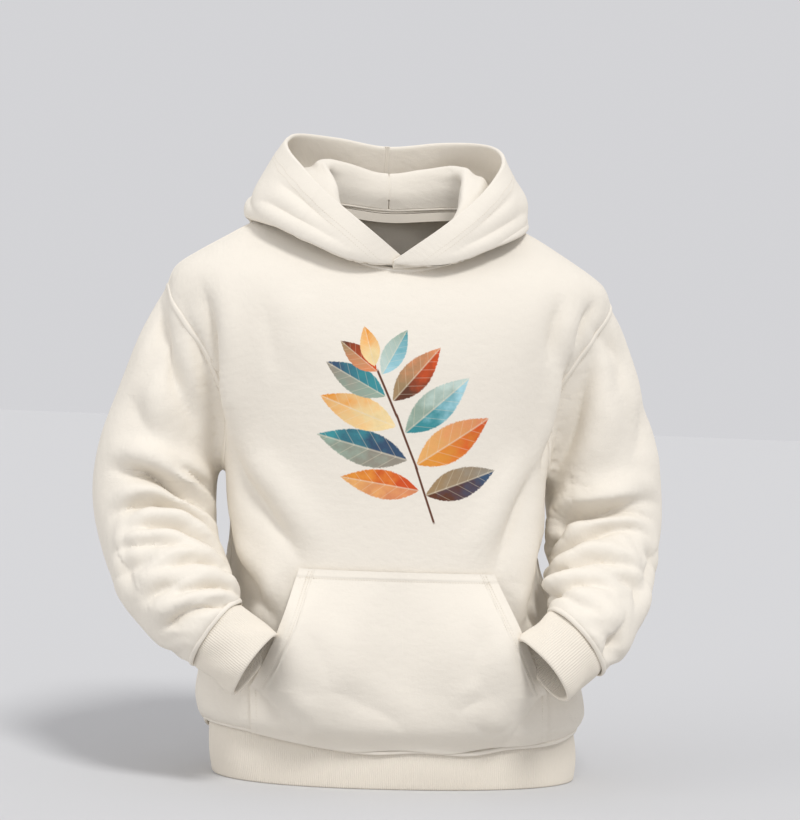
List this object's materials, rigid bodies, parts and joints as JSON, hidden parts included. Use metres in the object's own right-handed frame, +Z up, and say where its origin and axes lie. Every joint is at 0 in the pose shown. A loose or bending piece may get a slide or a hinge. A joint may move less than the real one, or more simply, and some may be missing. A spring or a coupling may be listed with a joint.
{
  "type": "hooded sweatshirt",
  "caption": "Cream pullover hooded sweatshirt, worn shape with the hood down, a front hand pocket, ribbed cuffs and hem, and a plain leaf-sprig print on the chest.",
  "frame": {"origin": "on the floor, under the middle of the garment's box", "axes": "+Z up, the wearer faces -Y, the wearer's left is +X"},
  "size_m": [0.7466, 0.3864, 0.8344],
  "materials": {
    "fleece": "matt cream fleece, a fine knit face outside and brushed inside",
    "hood_fleece": "matt cream fleece in two layers, the knit face on both sides",
    "rib": "matt cream rib knit, fine upright ribs"
  },
  "bodies": {
    "root": {"body_front": "fleece", "body_back": "fleece", "sleeve_left_upper": "fleece", "sleeve_left_lower": "fleece", "sleeve_right_upper": "fleece", "sleeve_right_lower": "fleece", "pocket": "fleece", "hood_left": "hood_fleece", "hood_right": "hood_fleece", "cuff_left": "rib", "cuff_right": "rib", "hem_band": "rib"}
  },
  "joints": []
}
